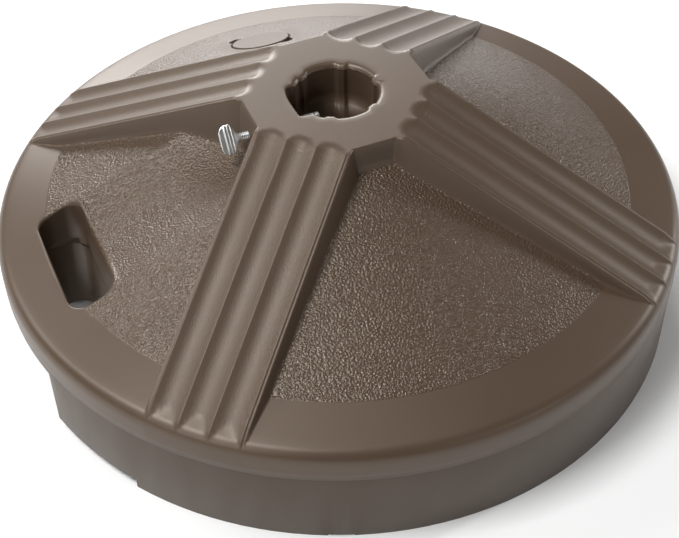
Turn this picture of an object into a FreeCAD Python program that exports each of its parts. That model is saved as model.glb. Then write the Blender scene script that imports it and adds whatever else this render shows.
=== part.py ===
"""Fillable parasol base: a round tank moulded in two shells, with a carry-handle slot,
a pole socket clamped by a thumb screw, and a filler plug.

Frame: millimetres, +Z up, origin on the floor under the middle of the pole socket.
The handle slot and the thumb screw are on the -X side; the filler plug is on the +Y side.
The four fluted arms run out at 45, 135, 225 and 315 degrees.
"""
import FreeCAD, Part
import math
import os

V = FreeCAD.Vector
Z_AXIS = V(0, 0, 1)
ORIGIN = V(0, 0, 0)

# ---------------------------------------------------------------- driving dimensions
rim_radius = 241.5          # outside of the side wall, 19 in across
total_height = 168.0        # floor to the top of the hub
wall = 3.0                  # moulded wall thickness

seam_height = 57.5          # where the upper and lower shells are welded
seam_step = 0.6             # the lower shell's wall stands this far inside the upper's

hub_rise = 18.0             # how far the hub's top stands above the sectors' inner edge
sector_slope = 0.4336       # fall of the textured sectors, per unit of radius
band_width = 36.5           # the smooth rim band, from the textured sectors to the side wall
band_slope = 0.26           # fall of the smooth rim band
rim_round = 9.5             # rounding from the rim band into the side wall

hub_apothem = 62.0          # hub axis to its flats
hub_draft = 2.0             # how far a hub flat leans out over its full height

arm_slope = 0.497           # fall of the arm tops
arm_half_width = 33.5       # at the top of the arm's side walls
arm_draft = 0.12            # side wall lean, per unit of height
arm_depth = 30.0            # height of an arm's side walls inside the shell
arm_end_round = 14.0        # rounding of an arm's end into the side wall
flute_count = 3
flute_pitch = 20.6          # ridge to ridge
flute_depth = 3.5

pole_diameter = 50.8        # the 2 in pole that the socket is made for
pole_clearance = 1.1        # radial, between the pole and the socket's ribs
rib_height = 2.0            # the upper socket is this much wider than its ribs
rib_width = 8.0
mouth_round = 3.0           # rounding of the socket's mouth
nut_pocket_width = 34.0     # the notch on the -X side of the socket
nut_pocket_reach = 5.5      # how far the notch's end wall lies outside the socket
nut_pocket_depth = 34.0     # the notch's depth below the hub's top

screw_drop = 17.5           # thumb screw axis below the hub's top
screw_diameter = 6.35       # 1/4 in thread
thread_clearance = 0.05     # radial running clearance in the nut
screw_hole_clearance = 0.9  # radial, through the hub's walls
screw_reach = 13.5          # how far the screw's point stands inside the ribs at rest
screw_point_length = 2.5    # smooth point ahead of the thread
screw_shank_length = 57.5   # point to head
screw_head_length = 13.5
screw_head_width = 20.6
screw_head_thickness = 3.6
screw_head_turn = 36.0      # degrees that the spade head is turned from upright
nut_across_flats = 11.1
nut_thickness = 5.6
nut_seat_depth = 1.4        # how far the nut is let into the notch's end wall
nut_seat_clearance = 0.15

trough_radius = 120.0       # section of the trough that leads to the handle slot
trough_start = 15.0         # hub's flat to the start of the trough's floor line
trough_start_drop = 19.8    # and how far that point lies below the sectors' inner edge
trough_slope = 0.41463      # fall of the trough's floor line, per unit of radius

grip_bar_width = 33.5       # the bar between the side wall and the handle slot
slot_width = 31.5
slot_half_length = 47.5
slot_corner = 12.0
slot_taper = 8.0            # how much shorter each end of the slot is at the floor
slot_side_taper = 4.0       # and how much each long side comes in

grip_bar_depth = 5.5        # how far the finger space stays below the seam
grip_half_outer = 67.0      # half width of the finger space at the side wall
grip_half_inner = 46.0      # and at the slot

foot_height = 7.0           # foot ring below the tank's floor
foot_width = 13.0
foot_gap_angle = 33.5       # half angle of the foot ring's gap under the handle
drain_relief_width = 17.0
drain_relief_height = 1.0
drain_relief_angle = 247.0
socket_drain_radius = 5.0

plug_radius = 22.0          # filler plug cap
plug_setback = 55.0         # textured sector's outer edge to the plug's axis, along +Y
plug_cap_thickness = 3.0
plug_cap_proud = 0.6        # height of the cap above the sector
plug_recess_clearance = 1.0
plug_stem_radius = 16.0
plug_stem_length = 12.0
plug_stem_clearance = 0.5
notch_radius = 6.0          # two finger notches at the plug's edge, opposite each other
notch_turn = -52.0          # degrees from +X to a notch, turned downhill about the plug
seal_section = 2.4
seal_squeeze = 0.3

fill_level = 92.0           # height of the sand
fill_gap = 0.5              # between the sand and the shells

# ---------------------------------------------------------------- sizes that follow
rib_radius = pole_diameter / 2 + pole_clearance
socket_radius = rib_radius + rib_height
tube_radius = socket_radius + wall
nut_pocket_wall = socket_radius + nut_pocket_reach
screw_radius = screw_diameter / 2
screw_height = total_height - screw_drop
screw_tip_x = screw_reach - rib_radius
sector_top = total_height - hub_rise
texture_radius = rim_radius - band_width
trough_near = (-hub_apothem - trough_start, sector_top - trough_start_drop)
slot_outer_x = grip_bar_width - rim_radius
slot_inner_x = slot_outer_x + slot_width
grip_under = seam_height - grip_bar_depth
plug_centre_radius = texture_radius - plug_setback
inner_rim = rim_radius - wall
lower_radius = rim_radius - seam_step
round_centre_r = rim_radius - rim_round
arm_angles = [45.0, 135.0, 225.0, 315.0]
rib_angles = [0.0, 60.0, 120.0, 240.0, 300.0]
sector_angle = math.atan(sector_slope)
plug_normal = V(0, math.sin(sector_angle), math.cos(sector_angle))


def sector_z(r):
    """Height of the textured sectors at radius r."""
    return sector_top - sector_slope * (r - hub_apothem)


def band_z(r):
    """Height of the smooth rim band at radius r."""
    return sector_z(texture_radius) - band_slope * (r - texture_radius)


band_angle = math.atan(band_slope)
round_top_r = round_centre_r + rim_round * math.sin(band_angle)
round_centre_z = band_z(round_top_r) - rim_round * math.cos(band_angle)
plug_centre = V(0, plug_centre_radius, sector_z(plug_centre_radius))


# ---------------------------------------------------------------- helpers
def revolve(points):
    """Solid of revolution about Z from (radius, height) corners; a 3-item entry is an arc's middle."""
    edges = []
    corners = points + [points[0]]
    start = V(corners[0][0], 0, corners[0][1])
    middle = None
    for item in corners[1:]:
        here = V(item[0], 0, item[1])
        if len(item) == 3:
            middle = here
            continue
        if middle is None:
            edges.append(Part.LineSegment(start, here).toShape())
        else:
            edges.append(Part.Arc(start, middle, here).toShape())
        start = here
        middle = None
    return Part.Face(Part.Wire(edges)).revolve(ORIGIN, Z_AXIS, 360)


def box_between(low, high):
    """Axis-aligned box from its lowest to its highest corner."""
    size = V(*high) - V(*low)
    return Part.makeBox(size.x, size.y, size.z, V(*low))


def prism(points, z_low, z_high):
    """Upright prism on (x, y) corners."""
    loop = [V(x, y, z_low) for x, y in points]
    return Part.Face(Part.makePolygon(loop + loop[:1])).extrude(V(0, 0, z_high - z_low))


def rounded_loop(x_low, x_high, half_length, corner, z):
    """Closed wire of a rectangle with round corners, at height z."""
    diagonal = corner * (1 - math.sqrt(0.5))
    y = half_length
    c = corner
    corners = [
        (V(x_low, y - c, z), V(x_low + diagonal, y - diagonal, z), V(x_low + c, y, z)),
        (V(x_high - c, y, z), V(x_high - diagonal, y - diagonal, z), V(x_high, y - c, z)),
        (V(x_high, c - y, z), V(x_high - diagonal, diagonal - y, z), V(x_high - c, -y, z)),
        (V(x_low + c, -y, z), V(x_low + diagonal, diagonal - y, z), V(x_low, c - y, z)),
    ]
    edges = []
    for index, (first, middle, last) in enumerate(corners):
        edges.append(Part.Arc(first, middle, last).toShape())
        following = corners[(index + 1) % len(corners)][0]
        edges.append(Part.LineSegment(last, following).toShape())
    return Part.Wire(edges)


def octagon(apothem, z_low, z_high):
    """Upright regular octagon with flats across X and Y."""
    reach = apothem / math.cos(math.pi / 8)
    turns = [math.pi / 8 + i * math.pi / 4 for i in range(8)]
    return prism([(reach * math.cos(a), reach * math.sin(a)) for a in turns], z_low, z_high)


def at_angle(shape, degrees):
    """Copy of a shape that was made along +X, turned about Z."""
    turned = shape.copy()
    turned.rotate(ORIGIN, Z_AXIS, degrees)
    return turned


def largest_solid(shape):
    """The biggest solid of a boolean's result, which may come as a compound."""
    return max(shape.Solids, key=lambda solid: solid.Volume)


# ---------------------------------------------------------------- arms and hub
def arm_body(inset, drop):
    """One arm along +X: a sloping bar with leaning sides and a rounded end."""
    half = arm_half_width - inset
    spread = half + arm_depth * arm_draft
    top = total_height - drop
    start = V(0, 0, arm_slope * hub_apothem)
    section = [V(0, -half, top), V(0, half, top), V(0, spread, top - arm_depth), V(0, -spread, top - arm_depth)]
    loop = [point + start for point in section]
    reach = rim_radius + rim_round
    run = V(reach, 0, -arm_slope * reach)
    bar = Part.Face(Part.makePolygon(loop + loop[:1])).extrude(run)
    return bar.common(arm_end(inset, drop, spread))


def arm_end(inset, drop, half_width):
    """Region that an arm keeps: level with the hub's top inside, rounded at its end."""
    radius = arm_end_round - inset
    angle = math.atan(arm_slope)
    centre_x = rim_radius - inset - radius
    line_z = total_height - drop - arm_slope * (centre_x - hub_apothem)
    centre_z = line_z - radius / math.cos(angle)
    tangent = V(centre_x + radius * math.sin(angle), -half_width, centre_z + radius * math.cos(angle))
    middle_angle = (math.pi / 2 - angle) / 2
    middle = V(centre_x + radius * math.cos(middle_angle), -half_width, centre_z + radius * math.sin(middle_angle))
    side = V(centre_x + radius, -half_width, centre_z)
    foot = V(centre_x + radius, -half_width, seam_height)
    back = V(0, -half_width, seam_height)
    high = V(0, -half_width, total_height - drop)
    knee = V(hub_apothem, -half_width, total_height - drop)
    edges = [
        Part.LineSegment(knee, tangent).toShape(),
        Part.Arc(tangent, middle, side).toShape(),
        Part.LineSegment(side, foot).toShape(),
        Part.LineSegment(foot, back).toShape(),
        Part.LineSegment(back, high).toShape(),
        Part.LineSegment(high, knee).toShape(),
    ]
    region = Part.Face(Part.Wire(edges)).extrude(V(0, 2 * half_width, 0))
    return region.common(Part.makeCylinder(rim_radius - inset, total_height))


def flutes():
    """Cutters for one arm's flutes, along +X: parallel round grooves that follow its slope."""
    half = flute_pitch / 2
    radius = (half ** 2 + flute_depth ** 2) / (2 * flute_depth)
    angle = math.atan(arm_slope)
    along = V(math.cos(angle), 0, -math.sin(angle))
    up = V(math.sin(angle), 0, math.cos(angle))
    knee = V(hub_apothem, 0, total_height)
    cutters = []
    for index in range(flute_count):
        side = (index - (flute_count - 1) / 2) * flute_pitch
        start = knee + up * (radius - flute_depth) + V(0, side, 0) - along * hub_apothem
        cutters.append(Part.makeCylinder(radius, rim_radius * 1.3, start, along))
    return cutters


def hub_body():
    """The hub: a flat-topped octagon whose flats lean out towards their foot."""
    foot_z = sector_z(hub_apothem) - arm_depth
    upper = octagon(hub_apothem, foot_z, total_height)
    return upper.fuse(octagon(hub_apothem + hub_draft, foot_z, sector_top - flute_depth))


# ---------------------------------------------------------------- cutters shared by both shells
def trough(offset, x_low, x_high):
    """The round-bottomed trough from the hub to the handle slot, its floor lowered by offset."""
    near = V(trough_near[0], 0, trough_near[1])
    along = V(-1, 0, -trough_slope).normalize()
    up = V(along.z, 0, -along.x)
    start = near - along * rim_radius + up * trough_radius
    tube = Part.makeCylinder(trough_radius + offset, 3 * rim_radius, start, along)
    limit = box_between((x_low, -rim_radius / 3, 0), (x_high, rim_radius / 3, total_height * 1.5))
    return tube.common(limit)


def slot_upper(offset):
    """Handle slot through the upper shell, straight down to the seam."""
    low = slot_outer_x - offset
    high = slot_inner_x + offset
    loop = rounded_loop(low, high, slot_half_length + offset, slot_corner + offset, seam_height)
    return Part.Face(loop).extrude(V(0, 0, total_height))


def slot_lower(offset, z_bottom):
    """Handle slot through the lower shell, closing in towards the floor."""
    top = rounded_loop(slot_outer_x - offset, slot_inner_x + offset,
                       slot_half_length + offset, slot_corner + offset, seam_height)
    depth = (seam_height - z_bottom) / seam_height
    side = slot_side_taper * depth
    bottom = rounded_loop(slot_outer_x + side - offset, slot_inner_x - side + offset,
                          slot_half_length - slot_taper * depth + offset, slot_corner + offset, z_bottom)
    return Part.makeLoft([top, bottom], True, True)


def grip_space(offset):
    """Finger space under the grip bar, open to the side wall, the floor and the slot."""
    inner_x = slot_outer_x + slot_corner
    outer_x = -rim_radius - wall
    corners = [
        (outer_x, grip_half_outer + offset),
        (-lower_radius, grip_half_outer + offset),
        (inner_x, grip_half_inner - slot_taper + offset),
        (inner_x, slot_taper - grip_half_inner - offset),
        (-lower_radius, -grip_half_outer - offset),
        (outer_x, -grip_half_outer - offset),
    ]
    return prism(corners, -foot_height, grip_under + offset)


def socket_space(z_low, z_high):
    """The ribbed round socket with its nut pocket, as the space that the pole enters."""
    height = z_high - z_low
    space = Part.makeCylinder(socket_radius, height, V(0, 0, z_low))
    for angle in rib_angles:
        rib = Part.makeBox(rib_height * 2, rib_width, height, V(rib_radius, -rib_width / 2, z_low))
        space = space.cut(at_angle(rib, angle))
    return space


def nut_pocket(offset):
    """Notch in the socket's side, where the nut is put in."""
    half = nut_pocket_width / 2 + offset
    z_low = total_height - nut_pocket_depth - offset
    return box_between((-nut_pocket_wall - offset, -half, z_low), (0, half, total_height))


def mouth_cutter():
    """Rounding of the socket's mouth, all round."""
    outer = socket_radius + mouth_round
    z = total_height
    diagonal = mouth_round * (1 - math.sqrt(0.5))
    return revolve([
        (0, z - mouth_round),
        (socket_radius, z - mouth_round),
        (socket_radius + diagonal, z - diagonal, 'arc'),
        (outer, z),
        (0, z),
    ])


def screw_hole():
    """Clearance hole for the thumb screw through the hub's two walls."""
    radius = screw_radius + screw_hole_clearance
    start = V(-hub_apothem - hub_draft - 1, 0, screw_height)
    return Part.makeCylinder(radius, hub_apothem, start, V(1, 0, 0))


def plug_cylinder(radius, low, high):
    """Cylinder on the filler plug's axis, between two heights measured from the sector."""
    return Part.makeCylinder(radius, high - low, plug_centre + plug_normal * low, plug_normal)


def plug_recess():
    """Shallow seat for the plug's cap, with a finger notch at each side, and the filler neck's bore."""
    seat_depth = plug_cap_thickness - plug_cap_proud
    top = plug_cap_thickness * 2
    seat = plug_cylinder(plug_radius + plug_recess_clearance, -seat_depth, top)
    downhill = V(0, math.cos(sector_angle), -math.sin(sector_angle))
    turn = math.radians(notch_turn)
    across = V(1, 0, 0) * math.cos(turn) + downhill * math.sin(turn)
    for side in (-1, 1):
        centre = plug_centre + across * (side * plug_radius) - plug_normal * seat_depth
        seat = seat.fuse(Part.makeCylinder(notch_radius, top + seat_depth, centre, plug_normal))
    bore = plug_cylinder(plug_stem_radius + plug_stem_clearance, -plug_stem_length - 2 * wall, top)
    return seat.fuse(bore)


# ---------------------------------------------------------------- the shells
def upper_outline():
    """Outside of the upper shell, as a solid."""
    middle = (math.pi / 2 - band_angle) / 2
    body = revolve([
        (0, seam_height),
        (rim_radius, seam_height),
        (rim_radius, round_centre_z),
        (round_centre_r + rim_round * math.cos(middle), round_centre_z + rim_round * math.sin(middle), 'arc'),
        (round_top_r, band_z(round_top_r)),
        (texture_radius, sector_z(texture_radius)),
        (hub_apothem, sector_z(hub_apothem)),
        (0, sector_z(hub_apothem)),
    ])
    body = body.cut(trough(0, slot_outer_x + 1, -hub_apothem))
    body = body.fuse(hub_body())
    for angle in arm_angles:
        body = body.fuse(at_angle(arm_body(0, 0), angle))
    for angle in arm_angles:
        for cutter in flutes():
            body = body.cut(at_angle(cutter, angle))
    return body


def upper_cavity():
    """Inside of the upper shell, without the walls round its openings."""
    lean = wall / math.cos(sector_angle)
    body = revolve([
        (0, seam_height - wall),
        (inner_rim, seam_height - wall),
        (inner_rim, round_centre_z),
        (round_centre_r, round_centre_z + rim_round - wall),
        (texture_radius, sector_z(texture_radius) - lean),
        (hub_apothem, sector_z(hub_apothem) - lean),
        (0, sector_z(hub_apothem) - lean),
    ])
    body = body.cut(trough(wall, slot_outer_x - wall, wall - hub_apothem))
    hub_low = sector_z(hub_apothem) - arm_depth
    body = body.fuse(octagon(hub_apothem - wall, hub_low, total_height - wall))
    drop = (wall + flute_depth) / math.cos(math.atan(arm_slope))
    for angle in arm_angles:
        body = body.fuse(at_angle(arm_body(wall, drop), angle))
    return body


def upper_shell():
    """Upper shell: hub, arms, sectors, rim, and the upper half of the socket and slot walls."""
    space = upper_cavity()
    space = space.cut(Part.makeCylinder(tube_radius, total_height))
    space = space.cut(nut_pocket(wall))
    space = space.cut(slot_upper(wall))
    neck_length = plug_stem_length + wall
    space = space.cut(plug_cylinder(plug_radius + notch_radius + wall, -plug_cap_thickness - wall, wall))
    space = space.cut(plug_cylinder(plug_stem_radius + plug_stem_clearance + wall, -neck_length, wall))
    shell = upper_outline().cut(space)
    shell = shell.cut(socket_space(seam_height - 1, total_height + 1))
    shell = shell.cut(nut_pocket(0))
    shell = shell.cut(mouth_cutter())
    shell = shell.cut(slot_upper(0))
    shell = shell.cut(plug_recess())
    shell = shell.cut(screw_hole())
    shell = shell.cut(nut_seat())
    return largest_solid(shell.removeSplitter())


def lower_cavity():
    """Inside of the lower shell, without the walls round its openings."""
    floor_z = foot_height + wall
    space = Part.makeCylinder(inner_rim - seam_step, seam_height - floor_z, V(0, 0, floor_z))
    space = space.cut(Part.makeCylinder(tube_radius, seam_height))
    space = space.cut(slot_lower(wall, 0))
    return space.cut(grip_space(wall))


def foot_ring():
    """Foot ring under the tank, open under the handle and relieved for draining."""
    ring = Part.makeCylinder(lower_radius, foot_height + wall)
    ring = ring.cut(Part.makeCylinder(lower_radius - foot_width, foot_height + wall))
    reach = 2 * rim_radius
    half = math.radians(foot_gap_angle)
    gap = prism([(0, 0), (-reach, reach * math.tan(half)), (-reach, -reach * math.tan(half))], 0, foot_height)
    ring = ring.cut(gap)
    relief = box_between((rim_radius / 2, -drain_relief_width / 2, 0),
                         (rim_radius + wall, drain_relief_width / 2, drain_relief_height))
    for angle in (drain_relief_angle, drain_relief_angle - 180):
        ring = ring.cut(at_angle(relief, angle))
    return ring


def lower_shell():
    """Lower shell: side wall, floor, foot ring, and the lower half of the socket and slot walls."""
    body = Part.makeCylinder(lower_radius, seam_height - foot_height, V(0, 0, foot_height))
    body = body.cut(lower_cavity()).fuse(foot_ring())
    floor_z = foot_height + wall
    body = body.cut(Part.makeCylinder(rib_radius, seam_height, V(0, 0, floor_z)))
    body = body.cut(Part.makeCylinder(socket_drain_radius, floor_z + 1))
    body = body.cut(slot_lower(0, 0)).cut(grip_space(0))
    return largest_solid(body.removeSplitter())


# ---------------------------------------------------------------- the fill
def ballast_fill():
    """Wet sand that fills the tank up to fill_level, clear of every wall."""
    gap = wall + fill_gap
    floor_z = foot_height + gap
    lean = gap / math.cos(sector_angle)
    side = lower_radius - gap
    body = revolve([
        (0, floor_z),
        (side, floor_z),
        (side, round_centre_z - fill_gap),
        (round_centre_r - fill_gap, round_centre_z + rim_round - gap),
        (texture_radius, sector_z(texture_radius) - lean),
        (hub_apothem, sector_z(hub_apothem) - lean),
        (0, sector_z(hub_apothem) - lean),
    ])
    body = body.common(Part.makeCylinder(rim_radius, fill_level))
    body = body.cut(Part.makeCylinder(tube_radius + fill_gap, total_height))
    body = body.cut(trough(gap, slot_outer_x - gap, gap - hub_apothem))
    body = body.cut(slot_upper(gap)).cut(slot_lower(gap, 0)).cut(grip_space(gap))
    neck_radius = plug_stem_radius + plug_stem_clearance + gap
    body = body.cut(plug_cylinder(neck_radius, -plug_stem_length - gap, gap))
    body = body.cut(plug_cylinder(plug_radius + notch_radius + gap, -plug_cap_thickness - gap, gap))
    return largest_solid(body)


# ---------------------------------------------------------------- screw and nut
def hexagon_prism(across_flats, x_low, x_high):
    """Hexagon along X at the screw's height, with one flat on top."""
    reach = across_flats / 2 / math.cos(math.pi / 6)
    turns = [i * math.pi / 3 for i in range(6)]
    loop = [V(x_low, reach * math.cos(a), screw_height + reach * math.sin(a)) for a in turns]
    return Part.Face(Part.makePolygon(loop + loop[:1])).extrude(V(x_high - x_low, 0, 0))


def nut_seat():
    """Hexagonal recess in the nut pocket's end wall."""
    flats = nut_across_flats + 2 * nut_seat_clearance
    return hexagon_prism(flats, -nut_pocket_wall - nut_seat_depth, -nut_pocket_wall + 1)


def hub_nut():
    """Hexagon nut let into the end wall of the pocket; the screw runs in it."""
    x_low = -nut_pocket_wall - nut_seat_depth
    nut = hexagon_prism(nut_across_flats, x_low, x_low + nut_thickness)
    start = V(x_low - 1, 0, screw_height)
    return nut.cut(Part.makeCylinder(screw_radius + thread_clearance, nut_thickness + 2, start, V(1, 0, 0)))


def screw_point():
    """Smooth point of the thumb screw, which bears on the pole."""
    start = V(screw_tip_x - screw_point_length, 0, screw_height)
    chamfer = screw_point_length / 3
    body = Part.makeCylinder(screw_radius * 0.9, screw_point_length - chamfer, start, V(1, 0, 0))
    tip = V(screw_tip_x - chamfer, 0, screw_height)
    return body.fuse(Part.makeCone(screw_radius * 0.9, screw_radius * 0.6, chamfer, tip, V(1, 0, 0))).removeSplitter()


def thumb_screw():
    """Thumb screw: threaded shank and a flat spade head that widens from the shank."""
    shank_end = screw_tip_x - screw_shank_length
    shank_length = screw_shank_length - screw_point_length
    shank = Part.makeCylinder(screw_radius, shank_length, V(shank_end, 0, screw_height), V(1, 0, 0))
    outer = shank_end - screw_head_length
    middle = shank_end - screw_head_length * 0.55
    half = screw_head_width / 2
    t = screw_head_thickness / 2
    corners = [
        (shank_end, screw_radius), (middle, half), (outer + t, half * 0.9), (outer, half * 0.5),
        (outer, -half * 0.5), (outer + t, -half * 0.9), (middle, -half), (shank_end, -screw_radius),
    ]
    loop = [V(x, -t, screw_height + z) for x, z in corners]
    head = Part.Face(Part.makePolygon(loop + loop[:1])).extrude(V(0, 2 * t, 0))
    head.rotate(V(0, 0, screw_height), V(1, 0, 0), -screw_head_turn)
    collar = Part.makeCone(screw_radius * 0.6, screw_radius, screw_head_length / 3,
                           V(shank_end - screw_head_length / 3, 0, screw_height), V(1, 0, 0))
    return shank.fuse(head).fuse(collar).removeSplitter()


# ---------------------------------------------------------------- filler plug
def fill_plug():
    """Filler plug: a round cap with a hollow stem, and a groove for its seal."""
    underside = plug_cap_proud - plug_cap_thickness
    body = plug_cylinder(plug_radius, underside, plug_cap_proud)
    body = body.fuse(plug_cylinder(plug_stem_radius, -plug_stem_length, underside))
    body = body.cut(plug_cylinder(plug_stem_radius - wall, -plug_stem_length - 1, underside))
    return body.cut(seal_ring(0)).removeSplitter()


def seal_ring(shrink):
    """Round seal in the stem's groove, as a torus about the plug's axis."""
    minor = seal_section / 2 - shrink
    major = plug_stem_radius + plug_stem_clearance - seal_section / 2
    centre = plug_centre - plug_normal * (plug_stem_length * 0.6)
    return Part.makeTorus(major, minor, centre, plug_normal)


def plug_seal():
    """Rubber ring that seals the filler neck."""
    return seal_ring(0.02)


# ---------------------------------------------------------------- write one STEP for each node
NODES = {
    "upper_shell": upper_shell,
    "lower_shell": lower_shell,
    "ballast_fill": ballast_fill,
    "hub_nut": hub_nut,
    "thumb_screw": thumb_screw,
    "screw_point": screw_point,
    "fill_plug": fill_plug,
    "plug_seal": plug_seal,
}

os.makedirs("parts", exist_ok=True)
for name, make in NODES.items():
    shape = make()
    shape.exportStep(os.path.join("parts", name + ".step"))
    print(name, "valid" if shape.isValid() else "INVALID", len(shape.Solids), "solids", round(shape.Volume), "mm3")
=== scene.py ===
import math

import bmesh
import bpy
import numpy as np
from mathutils import Matrix, Vector


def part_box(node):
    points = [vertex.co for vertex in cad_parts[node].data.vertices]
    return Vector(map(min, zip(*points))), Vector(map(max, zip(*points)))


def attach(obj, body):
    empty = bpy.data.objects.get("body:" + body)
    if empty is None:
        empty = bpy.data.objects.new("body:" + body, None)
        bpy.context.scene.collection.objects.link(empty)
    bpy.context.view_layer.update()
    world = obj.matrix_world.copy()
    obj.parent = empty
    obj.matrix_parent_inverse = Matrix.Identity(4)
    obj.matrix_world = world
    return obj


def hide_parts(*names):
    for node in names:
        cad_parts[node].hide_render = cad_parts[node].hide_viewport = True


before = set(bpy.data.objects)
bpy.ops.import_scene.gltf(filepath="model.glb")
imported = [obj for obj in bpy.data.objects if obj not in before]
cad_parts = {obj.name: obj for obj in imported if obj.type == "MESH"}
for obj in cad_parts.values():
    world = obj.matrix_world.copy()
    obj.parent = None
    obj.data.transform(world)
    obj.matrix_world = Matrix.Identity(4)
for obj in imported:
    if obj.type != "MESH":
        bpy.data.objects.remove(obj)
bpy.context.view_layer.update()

MM = 0.001

# ---------------------------------------------------------------------------------------------
# The studio: a pale floor that the base stands on, soft boxes and a lens about three times
# as long as its picture is wide, looking down on the base from the handle's side.
# ---------------------------------------------------------------------------------------------
LENS_MM = 73.33
VIEW_TURN = math.radians(-22.62)
VIEW_HEIGHT = math.radians(42.06)
VIEW_DISTANCE = 1.0058
VIEW_TARGET = Vector((0.0, 0.0, 0.0575))
VIEW_PITCH = math.radians(-2.36)
VIEW_ROLL = math.radians(1.02)

back = Vector((math.sin(VIEW_TURN) * math.cos(VIEW_HEIGHT),
               -math.cos(VIEW_TURN) * math.cos(VIEW_HEIGHT),
               math.sin(VIEW_HEIGHT)))
right = Vector((0, 0, 1)).cross(back).normalized()
up = back.cross(right)
pitch = Matrix.Rotation(VIEW_PITCH, 3, right)
back = pitch @ back
up = pitch @ up
roll = Matrix.Rotation(VIEW_ROLL, 3, -back)
right = roll @ right
up = roll @ up
eye = VIEW_TARGET + VIEW_DISTANCE * Vector((math.sin(VIEW_TURN) * math.cos(VIEW_HEIGHT),
                                            -math.cos(VIEW_TURN) * math.cos(VIEW_HEIGHT),
                                            math.sin(VIEW_HEIGHT)))
lens = bpy.data.cameras.new("camera")
lens.lens = LENS_MM
lens.sensor_width = 36.0
lens.clip_start = 0.05
camera = bpy.data.objects.new("camera", lens)
camera.matrix_world = Matrix.Translation(eye) @ Matrix((right, up, back)).transposed().to_4x4()
bpy.context.scene.collection.objects.link(camera)
bpy.context.scene.camera = camera

world = bpy.data.worlds.new("studio")
bpy.context.scene.world = world
bpy.context.scene.view_settings.view_transform = "Standard"
world.use_nodes = True
nodes, links = world.node_tree.nodes, world.node_tree.links
backdrop = nodes["Background"]
backdrop.inputs["Color"].default_value = (1.0, 1.0, 1.0, 1.0)
seen = nodes.new("ShaderNodeLightPath")
dimmed = nodes.new("ShaderNodeMapRange")
dimmed.inputs["To Min"].default_value = 0.06
dimmed.inputs["To Max"].default_value = 1.0
links.new(seen.outputs["Is Camera Ray"], dimmed.inputs["Value"])
links.new(dimmed.outputs["Result"], backdrop.inputs["Strength"])


def soft_box(name, place, aim, size, power):
    """A square soft light that looks from place to aim."""
    light = bpy.data.lights.new(name, "AREA")
    light.shape = "RECTANGLE"
    light.size = size[0]
    light.size_y = size[1]
    light.energy = power
    lamp = bpy.data.objects.new(name, light)
    aimed = (Vector(aim) - Vector(place)).to_track_quat("-Z", "Y")
    lamp.matrix_world = Matrix.Translation(place) @ aimed.to_matrix().to_4x4()
    bpy.context.scene.collection.objects.link(lamp)


soft_box("high_left_box", (-1.12, -0.05, 2.21), (0, 0, 0.1), (0.9, 0.9), 46)
soft_box("rear_box", (0.386, 2.22, 0.88), (0, 0, 0.1), (1.6, 0.55), 48)
soft_box("left_rear_box", (-1.506, 1.264, 1.477), (0, 0, 0.1), (0.9, 0.9), 14)
soft_box("overhead_box", (0.105, 0.181, 2.491), (0, 0, 0.1), (1.0, 1.0), 4)
soft_box("front_left_box", (-1.75, -1.0, 1.25), (0, 0, 0.1), (0.5, 0.5), 8)
soft_box("right_strip", (1.9, 0.0, 0.8), (0, 0, 0.1), (0.1, 0.9), 13)
soft_box("front_right_strip", (1.1, -1.7, 0.75), (0, 0, 0.1), (0.7, 0.15), 2)
soft_box("front_strip", (0.5, -2.0, 0.9), (0, 0, 0.1), (0.5, 0.5), 0.8)

floor_mesh = bpy.data.meshes.new("floor")
FLOOR_HALF = 6.0
floor_mesh.from_pydata([(-FLOOR_HALF, -FLOOR_HALF, 0), (FLOOR_HALF, -FLOOR_HALF, 0),
                        (FLOOR_HALF, FLOOR_HALF, 0), (-FLOOR_HALF, FLOOR_HALF, 0)], [], [(0, 1, 2, 3)])
floor = bpy.data.objects.new("floor", floor_mesh)
bpy.context.scene.collection.objects.link(floor)
floor_paint = bpy.data.materials.new("floor_paper")
floor_paint.use_nodes = True
floor_paint.node_tree.nodes["Principled BSDF"].inputs["Base Color"].default_value = (0.95, 0.95, 0.95, 1)
floor_paint.node_tree.nodes["Principled BSDF"].inputs["Roughness"].default_value = 0.8
floor_mesh.materials.append(floor_paint)

# ---------------------------------------------------------------------------------------------
# Upper shell: one rotationally moulded skin of bronze-brown polyethylene. Four fluted arms run
# from a flat octagonal hub to the rim; between them lie grained sectors. The ribbed pole socket,
# the handle slot with its trough and the filler neck are moulded in.
# ---------------------------------------------------------------------------------------------
RIM_R = 241.5 * MM
HUB_TOP = 168.0 * MM
SEAM_Z = 57.5 * MM
WALL = 3.0 * MM
CONE_TOP = 150.0 * MM
CONE_SLOPE = 0.4336
GRAIN_R = 205.0 * MM
BAND_SLOPE = 0.26
RIM_ROUND = 9.5 * MM
HUB_FLAT = 62.0 * MM
ARM_SLOPE = 0.497
ARM_HALF = 33.5 * MM
ARM_END_ROUND = 14.0 * MM
WALL_STEEPNESS = 5.2
HUB_STEEPNESS = 8.0
KNEE_BLEND = 0.5 * MM
EDGE_BLEND = 3.0 * MM
FOOT_BLEND = 0.3 * MM
FLUTES = 3
FLUTE_PITCH = 20.6 * MM
FLUTE_DEPTH = 3.5 * MM
EDGE_BAND_DROP = 0.8 * MM
SOCKET_R = 28.5 * MM
RIB_R = 26.5 * MM
RIB_TURNS = (0, 60, 120, 240, 300)
RIB_HALF = 4.4 * MM
NOTCH_WALL = 33.2 * MM
NOTCH_HALF = 17.0 * MM
NOTCH_FLOOR = 134.0 * MM
MOUTH_ROUND = 4.2 * MM
INNER_MOUTH_ROUND = 0.5 * MM
NOTCH_ROUND = 1.2 * MM
NOTCH_BOW_FAR = 3.2 * MM
NOTCH_BOW_NEAR = 0.4 * MM
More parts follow.
